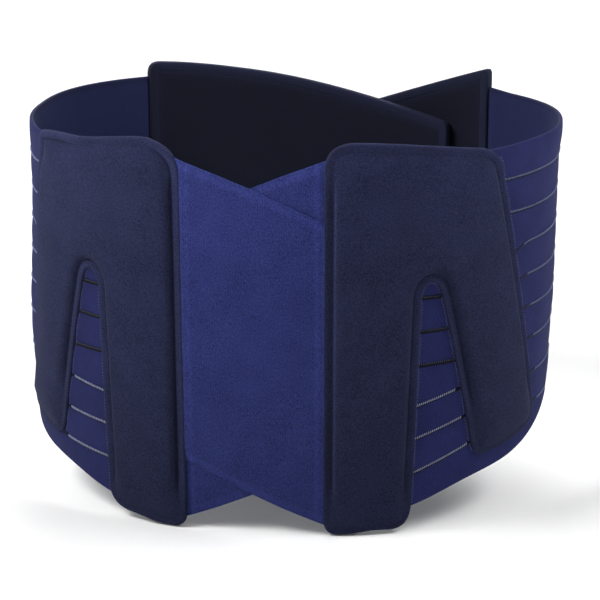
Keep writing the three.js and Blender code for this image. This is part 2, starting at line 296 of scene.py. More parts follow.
def ripple(u, v, seed):
    """Slow, smooth waves between about -1 and 1, the same on every run."""
    a = np.sin(u * 0.047 + 1.7 * seed) * np.cos(v * 0.039 + 0.6 * seed)
    b = np.sin(u * 0.021 - v * 0.063 + 2.9 * seed)
    c = np.sin(u * 0.091 + v * 0.034 + 4.1 * seed)
    return 0.5 * a + 0.3 * b + 0.2 * c


# ---- meshes

CURVE_STEPS = 24
ROW_PITCH = 0.87  # height of a row of the triangle grid, as a share of its width


def new_mesh(name, cloth, faces, side, materials, index=None, edge=None, flat=(), tuck=no_tuck):
    """An object from each vertex's u, v and w, kept for the weave. Faces in flat aren't smoothed."""
    mesh = bpy.data.meshes.new(name)
    if side == LEFT:
        faces = [tuple(reversed(f)) for f in faces]
    mesh.from_pydata(place(*cloth.T, side, tuck).tolist(), [], faces)
    mesh.update()
    keep = mesh.attributes.new("cloth", "FLOAT_VECTOR", "POINT")
    keep.data.foreach_set("vector", cloth.astype(np.float32).ravel())
    if edge is not None:
        mesh.attributes.new("edge", "FLOAT", "POINT").data.foreach_set("value", edge.astype(np.float32))
    flat = set(flat)
    mesh.polygons.foreach_set("use_smooth", [k not in flat for k in range(len(mesh.polygons))])
    for m in materials:
        mesh.materials.append(m)
    if index is not None:
        mesh.polygons.foreach_set("material_index", index)
    obj = bpy.data.objects.new(name, mesh)
    bpy.context.scene.collection.objects.link(obj)
    return obj


def path(start, *legs):
    """Points along lines and curves: each leg is (end) or (control, end) or (control, control, end)."""
    here = np.array(start, float)
    out = [here]
    for leg in legs:
        ctrl = [here] + [np.array(p, float) for p in leg]
        steps = 1 if len(leg) == 1 else CURVE_STEPS
        for t in np.linspace(0, 1, steps + 1)[1:]:
            pts = ctrl
            while len(pts) > 1:
                pts = [a + (b - a) * t for a, b in zip(pts, pts[1:])]
            out.append(pts[0])
        here = ctrl[-1]
    return np.array(out)


def turn(loop):
    """Twice the signed area of a closed outline: positive when it runs anticlockwise."""
    x, y = loop.T
    return float(np.sum(x * np.roll(y, -1) - y * np.roll(x, -1)))


def resample(points, spacing, closed=True):
    """Even points along a line, or round a closed outline, anticlockwise."""
    if closed and turn(points) < 0:
        points = points[::-1]
    loop = np.vstack([points, points[:1]]) if closed else points
    reach = np.concatenate([[0], np.cumsum(np.hypot(*np.diff(loop, axis=0).T))])
    count = max(4, int(round(reach[-1] / spacing)))
    at = np.linspace(0, reach[-1], count + 1)
    if closed:
        at = at[:-1]
    return np.stack([np.interp(at, reach, loop[:, k]) for k in (0, 1)], -1)


def edge_distance(p, loop):
    """Distance from each point to a closed outline, positive inside."""
    a, b = loop, np.roll(loop, -1, axis=0)
    best = np.full(len(p), 1e9)
    inside = np.zeros(len(p), bool)
    for (ax, ay), (bx, by) in zip(a, b):
        dx, dy = bx - ax, by - ay
        t = np.clip(((p[:, 0] - ax) * dx + (p[:, 1] - ay) * dy) / (dx * dx + dy * dy), 0, 1)
        best = np.minimum(best, (p[:, 0] - ax - t * dx) ** 2 + (p[:, 1] - ay - t * dy) ** 2)
        if ay != by:
            over = (ay > p[:, 1]) != (by > p[:, 1])
            inside ^= over & (p[:, 0] < ax + (p[:, 1] - ay) * dx / dy)
    return np.where(inside, 1, -1) * np.sqrt(best)


def inward(loop):
    """Inward direction at each point of a closed outline that runs anticlockwise."""
    along = np.roll(loop, -1, axis=0) - np.roll(loop, 1, axis=0)
    along /= np.linalg.norm(along, axis=1)[:, None]
    return np.stack([-along[:, 1], along[:, 0]], -1)


def flat_net(outline, spacing, insets, grid):
    """Triangles over an outline, with rows of points that follow its edge."""
    loop = resample(outline, spacing)
    normal = inward(loop)
    fine = resample(outline, spacing / 3)
    points = [loop]
    for d in insets:
        row = loop + normal * d
        # Points that come too near another part of the edge, as in a tight corner, are dropped.
        points.append(row[np.abs(edge_distance(row, fine) - d) < 0.12 + 0.02 * d])
    lo, hi = loop.min(0), loop.max(0)
    gu, gv = np.meshgrid(np.arange(lo[0], hi[0], grid), np.arange(lo[1], hi[1], grid * ROW_PITCH))
    gu = gu + (np.arange(gu.shape[0]) % 2)[:, None] * grid / 2
    inner = np.stack([gu.ravel(), gv.ravel()], -1)
    points.append(inner[edge_distance(inner, fine) > insets[-1] + 0.55 * grid])
    ring = [(i, (i + 1) % len(loop)) for i in range(len(loop))]
    verts, _, faces, orig, _, _ = delaunay_2d_cdt([Vector(p) for p in np.vstack(points)], ring, [], 1, 1e-4)
    verts = np.array([tuple(v) for v in verts])
    dist = np.maximum(edge_distance(verts, fine), 0)
    rim = np.array([any(o < len(loop) for o in src) for src in orig])
    dist[rim] = 0
    return verts, [tuple(f) for f in faces], dist, rim


def edge_round(radius):
    """A share of full thickness that rises from 0 at the edge as a quarter circle does."""
    return lambda d: np.sqrt(np.clip(1 - (1 - np.clip(d / radius, 0, 1)) ** 2, 0, 1))


def two_faces(u, v, top, bottom, rim):
    """u, v and w of two faces that share the points on the rim, and the lower face's number for each."""
    keep = ~rim
    cloth = np.stack([np.concatenate([a.ravel(), b[keep]]) for a, b in ((u, u), (v, v), (top, bottom))], -1)
    own, added = np.arange(rim.size), rim.size + np.cumsum(keep) - 1
    return cloth, np.where(rim.ravel(), own, added).reshape(rim.shape)


def form(name, net, top, bottom, side, material, tuck=no_tuck):
    """A closed piece over a flat net, between two height functions of (d, u, v) that meet at the edge."""
    verts, faces, dist, rim = net
    u, v = verts.T
    wt, wb = top(dist, u, v), bottom(dist, u, v)
    edge = 0.5 * (wt + wb)
    cloth, under = two_faces(u, v, np.where(rim, edge, wt), wb, rim)
    both = faces + [tuple(int(under[i]) for i in reversed(f)) for f in faces]
    return new_mesh(name, cloth, both, side, [material], edge=np.concatenate([dist, dist[~rim]]), tuck=tuck)


def grid_cell(ids, i, j):
    """A grid cell's faces: at a corner of the grid, two triangles that meet along the line in from it."""
    a, b, c, d = ids[i, j], ids[i, j + 1], ids[i + 1, j + 1], ids[i + 1, j]
    if i not in (0, len(ids) - 2) or j not in (0, len(ids[0]) - 2):
        return [(a, b, c, d)]
    return [(a, b, c), (a, c, d)] if (i == 0) == (j == 0) else [(b, c, d), (b, d, a)]


def strip(name, us, low, high, inner, outer, side, materials, spacing, radius, ends=(True, True)):
    """A closed sheet between two edge curves, on a grid. inner and outer give w from (u, v).

    materials are those of the outer and inner face, and ends says which ends are rounded off.
    """
    lo, hi = low(us), high(us)
    near = np.array([0, 0.12, 0.45, 1.0]) * radius
    rows = max(3, int(round(float(np.max(hi - lo)) / spacing)))
    mid = np.linspace(0, 1, rows + 1)[1:-1]
    v = np.concatenate([
        lo[None] + near[:, None],
        (lo + near[-1])[None] + mid[:, None] * (hi - lo - 2 * near[-1])[None],
        hi[None] - near[::-1, None],
    ])
    u = np.broadcast_to(us, v.shape)
    d = np.minimum(v - lo, hi - v)
    if ends[0]:
        d = np.minimum(d, u - us[0])
    if ends[1]:
        d = np.minimum(d, us[-1] - u)
    full = edge_round(radius)(d)
    wi, wo = inner(u, v), outer(u, v)
    mid_w = 0.5 * (wi + wo)
    wt, wb = mid_w + (wo - mid_w) * full, mid_w + (wi - mid_w) * full
    r, c = v.shape
    ids = np.arange(r * c).reshape(r, c)
    rim = np.zeros((r, c), bool)
    rim[0], rim[-1] = True, True
    rim[:, 0] |= ends[0]
    rim[:, -1] |= ends[1]
    cloth, under = two_faces(u, v, wt, wb, rim)
    quads, lower = [], []
    for i in range(r - 1):
        for j in range(c - 1):
            quads += grid_cell(ids, i, j)
            lower += [f[::-1] for f in grid_cell(under, i, j)]
    caps = []
    for j, on in ((0, not ends[0]), (c - 1, not ends[1])):
        if on:
            for i in range(r - 1):
                f = list(dict.fromkeys([ids[i, j], ids[i + 1, j], under[i + 1, j], under[i, j]]))
                caps.append(f[::-1] if j == c - 1 else f)
    both = [tuple(int(k) for k in f) for f in quads + lower + caps]
    index = [0] * len(quads) + [1] * len(lower) + [0] * len(caps)
    return new_mesh(name, cloth, both, side, materials, index, flat=range(2 * len(quads), len(both)))


def sweep(name, loop, profile, side, material, tuck):
    """A closed profile of (distance in from the edge, w) carried round a closed outline."""
    normal = inward(loop)
    prof = np.asarray(profile, float)
    n, m = len(loop), len(prof)
    uv = loop[:, None, :] + normal[:, None, :] * prof[None, :, :1]
    w = np.broadcast_to(prof[None, :, 1:], (n, m, 1))
    faces = []
    for i in range(n):
        k = (i + 1) % n
        for j in range(m):
            q = (j + 1) % m
            faces.append((i * m + j, k * m + j, k * m + q, i * m + q))
    return new_mesh(name, np.concatenate([uv, w], -1).reshape(-1, 3), faces, side, [material], tuck=tuck)


def tubes(name, runs, sides, side, materials):
    """Threads along flat runs, all in one mesh. A run is (points, radius, material, flatness)."""
    verts, faces, marks = [], [], []
    base = 0
    for points, radius, mark, flatness in runs:
        run = np.asarray(points, float)
        along = np.gradient(run, axis=0)
        along /= np.linalg.norm(along, axis=1)[:, None]
        over = np.cross(along, (0.0, 0.0, 1.0))
        over /= np.linalg.norm(over, axis=1)[:, None]
        out = np.cross(over, along)
        angle = np.linspace(0, 2 * math.pi, sides, endpoint=False)[None, :, None]
        spokes = np.cos(angle) * over[:, None] + flatness * np.sin(angle) * out[:, None]
        n = len(run)
        verts.append((run[:, None] + radius * spokes).reshape(-1, 3))
        for i in range(n - 1):
            for j in range(sides):
                q = (j + 1) % sides
                faces.append((base + (i + 1) * sides + j, base + (i + 1) * sides + q,
                              base + i * sides + q, base + i * sides + j))
        faces.append(tuple(base + j for j in range(sides)))
        faces.append(tuple(base + (n - 1) * sides + j for j in reversed(range(sides))))
        marks += [mark] * (len(faces) - len(marks))
        base += n * sides
    return new_mesh(name, np.vstack(verts), faces, side, materials, marks)


# ---- materials

# A wave texture at scale 1 repeats every pi / 10 units, so WAVE / p repeats every p millimetres.
WAVE = math.pi / 10


def linear(hex_colour):
    """A linear colour from an sRGB one."""
    srgb = [int(hex_colour[i:i + 2], 16) / 255 for i in (0, 2, 4)]
    return tuple(c / 12.92 if c <= 0.04045 else ((c + 0.055) / 1.055) ** 2.4 for c in srgb) + (1,)


class Shade:
    """A material built from the flat cloth position."""

    def __init__(self, name, roughness, sheen=0.0, sheen_rough=0.5, sheen_tint="FFFFFF", specular=0.3,
                 metallic=0.0):
        self.m = bpy.data.materials.new(name)
        self.m.use_nodes = True
        self.t = self.m.node_tree
        self.t.nodes.clear()
        self.shader = self.node("ShaderNodeBsdfPrincipled", {
            "Roughness": roughness, "Metallic": metallic, "Specular IOR Level": specular,
            "Sheen Weight": sheen, "Sheen Roughness": sheen_rough, "Sheen Tint": linear(sheen_tint),
        })
        self.node("ShaderNodeOutputMaterial", {"Surface": self.shader.outputs[0]})
        self.cloth = self.node("ShaderNodeAttribute", attribute_name="cloth").outputs["Vector"]
        self.bumped = None

    def node(self, kind, inputs=None, **settings):
        """A node, with each input that is given linked to an output or set to a value."""
        n = self.t.nodes.new(kind)
        for k, v in settings.items():
            setattr(n, k, v)
        for k, v in (inputs or {}).items():
            if isinstance(v, bpy.types.NodeSocket):
                self.t.links.new(v, n.inputs[k])
            else:
                n.inputs[k].default_value = v
        return n

    def mark(self, name):
        """A number that each point of the mesh carries."""
        return self.node("ShaderNodeAttribute", attribute_name=name).outputs["Fac"]

    def flat(self):
        """The flat position's u, v and w."""
        return self.node("ShaderNodeSeparateXYZ", {0: self.cloth}).outputs

    def scaled(self, x=1, y=1, z=1, slant=0.0):
        """The flat position, turned and scaled."""
        inputs = {"Vector": self.cloth, "Rotation": (0, 0, slant), "Scale": (x, y, z)}
        return self.node("ShaderNodeMapping", inputs).outputs[0]

    def noise(self, vector, scale, detail=3.0, rough=0.55):
        inputs = {"Vector": vector, "Scale": scale, "Detail": detail, "Roughness": rough}
        return self.node("ShaderNodeTexNoise", inputs).outputs["Fac"]

    def waves(self, vector, scale, distortion=0.0, direction="X"):
        inputs = {"Vector": vector, "Scale": scale, "Distortion": distortion, "Detail": 1.0}
        n = self.node("ShaderNodeTexWave", inputs, wave_type="BANDS", bands_direction=direction)
        return n.outputs["Fac"]

    def voronoi(self, vector, scale):
        return self.node("ShaderNodeTexVoronoi", {"Vector": vector, "Scale": scale}).outputs["Distance"]

    def ramp(self, fac, stops, interpolation="LINEAR"):
        n = self.node("ShaderNodeValToRGB", {"Fac": fac})
        r = n.color_ramp
        r.interpolation = interpolation
        while len(r.elements) < len(stops):
            r.elements.new(0.5)
        for e, (at, colour) in zip(r.elements, stops):
            e.position = at
            e.color = colour
        return n.outputs["Color"]

    def grey(self, fac, low, high, start=0.0, end=1.0):
        """A value that goes from low to high as fac goes from start to end."""
        inputs = {"Value": fac, "From Min": start, "From Max": end, "To Min": low, "To Max": high}
        return self.node("ShaderNodeMapRange", inputs).outputs["Result"]

    def math(self, op, a, b):
        return self.node("ShaderNodeMath", {0: a, 1: b}, operation=op).outputs[0]

    def total(self, *parts):
        """The sum of several values."""
        whole = parts[0]
        for part in parts[1:]:
            whole = self.math("ADD", whole, part)
        return whole

    def between(self, fac, dark, light, start, end):
        """A colour from dark at start to light at end."""
        return self.ramp(fac, [(start, linear(dark)), (end, linear(light))])

    def levels(self, fac, span, stops):
        """A smooth curve through (value, level) stops, for values from 0 to span. Levels are up to 2."""
        halved = [(at / span, (level / 2, level / 2, level / 2, 1)) for at, level in stops]
        return self.math("MULTIPLY", self.ramp(self.math("DIVIDE", fac, span), halved, "EASE"), 2.0)

    def times(self, colour, factor):
        return self.node("ShaderNodeVectorMath", {0: colour, "Scale": factor}, operation="SCALE").outputs[0]

    def bump(self, height, distance, strength=1.0):
        """Adds a relief, in millimetres, to those before it."""
        inputs = {"Height": height, "Distance": distance * MM, "Strength": strength}
        if self.bumped:
            inputs["Normal"] = self.bumped
        self.bumped = self.node("ShaderNodeBump", inputs).outputs[0]

    def done(self, colour):
        self.t.links.new(colour, self.shader.inputs["Base Color"])
        if self.bumped:
            self.t.links.new(self.bumped, self.shader.inputs["Normal"])
        return self.m


def velour(name, dark, light, sheen, tint, ribs=0.0, rim=False, band=False, low=0.85):
    """Brushed cloth: a fine speckled pile, slight fine ribs, and painted shade low down and in a rim's groove."""
    s = Shade(name, 0.95, sheen=sheen, sheen_rough=0.45, sheen_tint=tint, specular=0.12)
    blotch = s.noise(s.scaled(), 0.05, 2.0)
    pile = s.noise(s.scaled(1, 1 - 3 * ribs, 1), 1.15 if band else 0.85, 2.0, 0.6)
    grain = s.noise(s.scaled(1, 1 - 3 * ribs, 1), 2.1 if band else 1.7, 2.0, 0.7)
    mix = s.total(s.grey(blotch, 0, 0.14, 0.3, 0.7), s.grey(pile, 0, 0.42, 0.3, 0.7),
                  s.grey(grain, 0, 0.56, 0.3 if band else 0.25, 0.7 if band else 0.75))
    colour = s.between(mix, dark, light, 0.1, 0.95)
    if rim:
        # Painted shade in the pad's groove, weighted by the groove's depth; where that is below 0, a painted highlight
        # along the low ridge instead.
        sharp = s.mark("pressed")
        groove = s.math("MAXIMUM", sharp, 0.0)
        ridge = s.math("MULTIPLY", s.math("MINIMUM", sharp, 0.0), -1.6)
        at = s.mark("edge")
        # The rim lighter, then painted shade in the groove beside it.
        shade = s.levels(at, 16.0, [(0.0, 1.2), (4.4, 1.15), (5.7, 0.55), (7.6, 0.84), (15.0, 1.0)])
        # A darker rim, then a painted highlight along the low ridge.
        line = s.levels(at, 16.0, [(0.0, 0.84), (6.0, 0.78), (6.6, 1.4), (7.1, 1.4), (8.0, 0.96),
                                   (12.0, 1.0)])
        colour = s.times(colour, s.total(s.math("MULTIPLY", s.math("SUBTRACT", shade, 1.0), groove),
                                         s.math("MULTIPLY", s.math("SUBTRACT", line, 1.0), ridge), 1.0))
    if ribs:
        lines = s.waves(s.scaled(1, 0.3, 1), WAVE / 1.5, 1.2)
        colour = s.times(colour, s.grey(lines, 1 - ribs / 2, 1 + ribs / 2))
        s.bump(lines, 0.12, 0.5)
    u, v, _ = s.flat()
    # Painted shade: darker towards the bottom, down to low at the lower edge.
    colour = s.times(colour, s.levels(v, BELT_HEIGHT, [(10.0, low), (150.0, 0.5 + low / 2), (235.0, 1.0)]))
    if band:
        # Painted highlights: lighter along the band's edges and along a soft ridge just inside them.
        painted_hem_highlight = s.levels(s.mark("edge"), 16.0,
                       [(0.0, 1.4), (1.0, 1.05), (2.6, 1.22), (4.4, 1.22), (8.0, 1.0)])
        # Painted highlights: lighter strips where the band meets the pads' edges.
        painted_highlight_by_pads = s.levels(s.math("ABSOLUTE", u, 0), 50.0,
                         [(38.5, 1.0), (41.5, 1.2), (43.5, 1.05), (46.0, 1.16)])
        colour = s.times(s.times(colour, painted_hem_highlight), painted_highlight_by_pads)
    s.bump(grain, 0.4, 0.7)
    s.bump(pile, 0.3, 0.5)
    return s.done(colour)


def twill(name, dark, light, slant):
    """Fine diagonal twill."""
    s = Shade(name, 0.85, sheen=0.02, sheen_rough=0.5, sheen_tint="8890D8", specular=0.12)
    lines = s.waves(s.scaled(slant=slant), WAVE / 1.3)
    threads = s.waves(s.scaled(slant=slant * 0.35), WAVE / 0.9, 0.4)
    blotch = s.noise(s.scaled(), 0.05, 2.0)
    grain = s.noise(s.scaled(), 0.7, 2.0, 0.6)
    mix = s.total(s.grey(lines, 0, 0.62), s.grey(blotch, 0, 0.12, 0.3, 0.7), s.grey(threads, 0, 0.12),
                  s.grey(grain, 0, 0.16, 0.3, 0.7))
    colour = s.between(mix, dark, light, 0.05, 1.0)
    s.bump(lines, 0.25, 0.8)
    s.bump(threads, 0.08, 0.5)
    return s.done(colour)


def knit(name, dark, light, pitch=1.2, depth=0.12, top=None, edge_light=1.0, seam=None):
    """Smooth fine knit: small rows with a little unevenness.

    It is darker above the height top, and has painted shade beside a seam. edge_light lightens its rim.
    """
    s = Shade(name, 0.85, sheen=0.05, sheen_rough=0.5, sheen_tint="9AA0D0", specular=0.2)
    rows = s.waves(s.scaled(), WAVE / pitch, 0.3, direction="Y")
    ribs = s.waves(s.scaled(), WAVE / (pitch * 0.8), 0.3)
    blotch = s.noise(s.scaled(), 0.05, 3.0)
    mix = s.total(s.grey(rows, 0, 0.25), s.grey(ribs, 0, 0.25), s.grey(blotch, 0.15, 0.35, 0.3, 0.7))
    colour = s.between(mix, dark, light, 0.05, 0.95)
    u, v, _ = s.flat()
    if top is not None:
        colour = s.times(colour, s.levels(v, 300.0, [(top - 4, 1.0), (top, 0.72), (top + 5, 0.7)]))
    if seam is not None:
        # Painted shade: darker beside the seam.
        colour = s.times(colour, s.levels(u, 700.0, [(seam, 0.62), (seam + 8, 1.0)]))
    if edge_light > 1:
        colour = s.times(colour, s.levels(s.mark("edge"), 20.0, [(2.0, edge_light), (11.0, 1.0)]))
    s.bump(rows, depth, 0.6)
    s.bump(ribs, depth, 0.5)
    return s.done(colour)


def thread(name, dark, light):
    """Stitching thread, with a fine fibre."""
    s = Shade(name, 0.8, specular=0.12)
    fibre = s.noise(s.scaled(), 1.6, 2.0)
    s.bump(fibre, 0.1, 0.5)
    return s.done(s.between(fibre, dark, light, 0.25, 0.75))


def hooks(name):
    """The hook half of the closure: small stiff dots."""
    s = Shade(name, 0.7, specular=0.15)
    dots = s.voronoi(s.scaled(), 0.7)
    s.bump(dots, 0.4, 0.8)
    return s.done(s.between(dots, "23252E", "0A0B10", 0.1, 0.6))


def loops(name):
    """The loop half of the closure: a curly pile."""
    s = Shade(name, 1.0, sheen=0.4, sheen_rough=0.6, sheen_tint="A0A8E0", specular=0.1)
    curl = s.voronoi(s.scaled(), 0.9)
    fuzz = s.noise(s.scaled(), 1.3, 4.0, 0.7)
    s.bump(curl, 0.5, 0.8)
    s.bump(fuzz, 0.4, 0.6)
    return s.done(s.between(fuzz, "1B1F38", "333A62", 0.25, 0.75))


def steel(name):
    """Brushed spring steel."""
    s = Shade(name, 0.35, metallic=1.0, specular=0.5)
    brushed = s.noise(s.scaled(1, 0.03, 1), 2.0, 2.0)
    return s.done(s.between(brushed, "8E9297", "B9BDC2", 0.3, 0.7))


MAT = {
    # Every velour has painted shade, darker towards the bottom; low sets how dark it gets there.
    "pad": velour("pad_velour", "0E1124", "2D3151", 0.05, "8088C0", rim=True, low=0.72),
    "band": velour("band_velour", "131741", "373F7B", 0.05, "8C98F0", ribs=0.13, band=True, low=0.72),
    "twill_left": twill("elastic_twill_left", "06081F", "292D62", 0.91),
    "twill_right": twill("elastic_twill_right", "060820", "2B2F68", -0.91),
    "inside": knit("elastic_inside", "191D40", "242A52", top=246.0),
    "band_inside": knit("band_inside", "1C2246", "283060"),
    "lining": knit("panel_lining", "090C1B", "0F1326", edge_light=1.8),
    "pad_lining": knit("pad_lining", "10121E", "1B1E2E", pitch=1.6, depth=0.2),
    "cover": velour("panel_cover", "181B2C", "24283E", 0.06, "8088C0"),
    # The left binding has painted shade beside the seam at the front hinge.
    "binding_left": knit("panel_binding_left", "12162B", "1E233B", pitch=1.6, seam=FRONT_HINGE + 2),
    "binding_right": knit("panel_binding_right", "12162A", "1E233A", pitch=1.6),
    "cord_light": thread("cord_light", "6C7088", "989CB4"),
    "cord_middle": thread("cord_middle", "5A607E", "7E84A4"),
    "cord_faint": thread("cord_faint", "2C3046", "52576E"),
    "cord_dark": thread("cord_dark", "040408", "0A0B10"),
    "zigzag": thread("zigzag_thread", "3C4068", "666A94"),
    "hook": hooks("hook_tape"),
    "loop": loops("loop_tape"),
    "pocket": knit("pocket_cloth", "101320", "1A1E30"),
    "steel": steel("stay_steel"),
}

# ---- outlines


def pad_outline(side):
    """A back pad: over the top, down the outer leg, round the cut-out and back up the inner leg."""
    if side == RIGHT:
        start = (PAD_INNER, 244)
        heel = ((103.6, 1), (88, 1.5))
        top = (((PAD_INNER + 1, 258.8), (63, 260.2)), ((90, 259.8), (118, 255.4), (151, 250.5)),
               ((166, 247), (168.5, 236)))
    else:
        start = (PAD_INNER, 236.5)
        heel = ((102.5, 7), (88, 4.5))
        top = (((PAD_INNER + 1.8, 255), (69, 259.1)), ((92, 258.8), (110, 252.8), (134, 252.8)),
               ((150, 252.8), (164.5, 250.4)), ((169.6, 249.4), (169, 239)))
    return path(
        start, *top,
        ((214, 68),), ((217.5, 54), (204, 51)), ((182, 46), (163, 44)),
        ((150, 42), (147.5, 54)), ((136, 106), (123.5, 155)), ((120.5, 167), (116, 167)),
        ((108.5, 166.5), (108.5, 154)), ((106.5, 80), (104, 19)), heel,
        ((73, 2.5), (70, 0), (60, 0)), ((54, 0),), ((45, 0), (45.5, 13)),
    )


LEFT_PANEL_LENGTH = 229.0
RIGHT_PANEL_LENGTH = 175.0
PANEL_GAP = 0.5


def left_panel_outline():
    """The inner closure panel, which narrows to a blunt end."""
    a, b = FRONT_HINGE + PANEL_GAP, FRONT_HINGE + LEFT_PANEL_LENGTH
    return path(
        (a, 112), ((a, 101), (a + 12, 101)), ((a + 80, 102), (a + 130, 116), (b - 12, 139)),
        ((b, 143), (b, 153)), ((b, 213),), ((b, 219.3), (b - 6, 220.5)),
        ((a + 150, 236), (a + 110, 252), (a + 9, 258)), ((a, 258.5), (a, 249.5)),
    )


def right_panel_outline():
    """The outer closure panel, shorter than the left one."""
    a, b = FRONT_HINGE + PANEL_GAP, FRONT_HINGE + RIGHT_PANEL_LENGTH
    return path(
        (a, 112), ((a, 101), (a + 12, 102)), ((a + 60, 106), (a + 100, 124), (b - 14, 143)),
        ((b, 148), (b, 158)), ((b, 194),), ((b, 204), (b - 12, 208)),
        ((a + 110, 222), (a + 60, 242), (a + 5, 260)), ((a + 1.4, 261.2), (a + 1.2, 257)), ((a + 1, 230),),
    )


# The side elastic's lower edge: (distance, height) points.
LOWER_EDGE = {
    RIGHT: [(40, 7), (104, 15.5), (139, 27.5), (158, 31.5), (179, 34.5), (199, 39), (212, 43), (226.5, 48),
            (245, 56), (266, 70), (292, 92), (322, 104), (345, 108), (400, 108)],
    LEFT: [(40, 6), (104, 13.5), (139, 25), (158, 29), (179, 32), (199, 36), (212, 40), (226.5, 46),
           (245, 57), (266, 72), (292, 92), (322, 104), (345, 108), (400, 108)],
}


def smooth_curve(xs, ys, spread):
    """A curve through points, evened out over a short distance."""
    at = np.arange(xs[0] - 30, xs[-1] + 30, 1.0)
    raw = np.interp(at, xs, ys)
    kernel = np.exp(-0.5 * (np.arange(-30, 31) / spread) ** 2)
    kernel /= kernel.sum()
    even = np.convolve(np.pad(raw, 30, mode="edge"), kernel, mode="valid")
    return lambda u: np.interp(u, at, even)


ELASTIC_LOW = {side: smooth_curve(*zip(*LOWER_EDGE[side]), 7.0) for side in (LEFT, RIGHT)}


def elastic_high(u, side):
    """Height of the elastic's upper edge, which dips slightly on the right flank."""
    dip = 1.6 if side == RIGHT else 0.0
    return ELASTIC_TOP - dip * smooth(215, 290, u) * smooth(400, 370, u)


# Stitched rows: height at u = 105, at u = 142 and from u = 205 on. The first two start beside the pad,
# and the others show in its cut-out as well, faintly in the upper part of it.
SIDE_ROWS = 2
FAINT_ROWS = 3
ROWS = {
    RIGHT: [(228, 227, 226), (206, 205, 203), (157, 157, 180), (134.5, 135, 157.5),
            (112, 113, 135), (84, 94, 112.5), (62, 73, 87), (39, 52, 65)],
    LEFT: [(228, 227, 226), (206, 205, 203), (157, 158, 180), (134.5, 136, 157.5),
           (112, 112, 135), (84, 89, 112.5), (62, 65.5, 87), (39, 43, 65)],
}


def row_height(row, u):
    """Height of a stitched row at u."""
    a, b, c = row
    u = np.asarray(u, float)
    near = a + (b - a) * np.clip((u - 105) / 37, -0.5, 1.3)
    far = c + 3.5 * smooth(ELASTIC_SPLIT, FRONT_HINGE, u) * (c < 120)
    return near + (far - near) * smooth(142, 205, u)


def rib_swell(u, v, side):
    """How far the elastic stands out between its stitched rows."""
    u, v = np.asarray(u, float), np.asarray(v, float)
    low = ELASTIC_LOW[side](u)
    edges = [low - 2] + [row_height(r, u) for r in reversed(ROWS[side])] + [elastic_high(u, side) + 2]
    out = np.zeros(np.broadcast(u, v).shape)
    for under, over in zip(edges, edges[1:]):
        under = np.where(under < low + 2, low - 2, under)
        f = (v - under) / np.maximum(over - under, 4)
        here = (f >= 0) & (f < 1)
        out = np.where(here, np.sin(math.pi * np.clip(f, 0, 1)) ** 0.6, out)
    return 0.9 * out


# ---- pieces


def finish_piece(obj, slot, body, nodes):
    """Puts a piece on one body, in place of its CAD nodes."""
    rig.ride(obj, body)
    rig.slot(obj, slot)
    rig.replaces(obj, *nodes)


def across(u, side):
    """Mid-height point of the ring at u, in metres, for blends."""
    return tuple(place(u, 130.0, 1.2, side).tolist())


def blend_piece(obj, slot, bend, side, nodes=()):
    """Bends a piece between two bodies, over a short stretch of the ring."""
    a, b = (body.format(NAME[side]) for body in bend[:2])
    u, reach = bend[2:]
    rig.blend(obj, a, b, start=across(u - reach, side), end=across(u + reach, side))
    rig.slot(obj, slot)
    if nodes:
        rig.replaces(obj, *nodes)
    return obj


def face(mid, thick, radius, swell=None):
    """A height function: a level face, thick above mid (below it, if negative), with a rounded edge."""
    def height(d, u, v):
        return mid + thick * edge_round(radius)(d) + (swell(d, u, v) if swell else 0)
    return height


def sheet_of(obj, size, area, **links):
    """Declares a flat piece, from the size and area of the outline that it is cut to."""
    width, length = size
    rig.sheet(obj, flat=(float(width) * MM, float(length) * MM), held="stretched",
             area=float(area) * MM * MM, **links)


# Heights (w) and depths of the pad cover, in millimetres.
PAD_UNDER = 2.45  # its lower face, on the elastic
PAD_REAR = -0.1  # its lower face where it reaches past the elastic
RIM_TOP = 4.95
RIM_ROUND = 1.2
RIM_CURL = 0.95
GROOVE_AT = 5.7  # from the edge
GROOVE_DEPTH = 0.55
CROWN_RISE = 3.5


def past_elastic(u, v, side):
    """1 where the pad reaches past the elastic's upper or lower edge."""
    low = smooth(1.5, -1.5, v - ELASTIC_LOW[side](u))
    return np.maximum(low, smooth(-1.0, 1.0, v - elastic_high(u, side)))


def point_marks(obj, name, value):
    """Gives each point of a piece a number for its material, from its flat place."""
    flat = np.zeros(3 * len(obj.data.vertices))
    obj.data.attributes["cloth"].data.foreach_get("vector", flat)
    flat = flat.reshape(-1, 3)
    marks = obj.data.attributes.new(name, "FLOAT", "POINT")
    marks.data.foreach_set("value", value(flat[:, 0], flat[:, 1]))


def pad_ends(u, v):
    """1 at the pad's top, and 1 at its two feet."""
    return smooth(222, 246, v), np.where(u < 128, smooth(36, 14, v), smooth(92, 66, v))


def pressed(u, v, side):
    """Groove depth, which also weights its painted shade. Below 0 it is a low ridge, as on the right pad's inner edge.
    """
    top, foot = pad_ends(u, v)
    inner = smooth(64, 56, u)
    if side == RIGHT:
        return (0.6 - 1.2 * inner) * (1 - 0.75 * top * smooth(158, 142, u)) * (1 - foot)
    corner = smooth(112, 140, u)
    sharp = 0.6 + 0.4 * np.maximum(inner, top * corner)
    return sharp * (1 - 0.7 * top * (1 - np.maximum(smooth(74, 60, u), corner))) * (1 - foot)


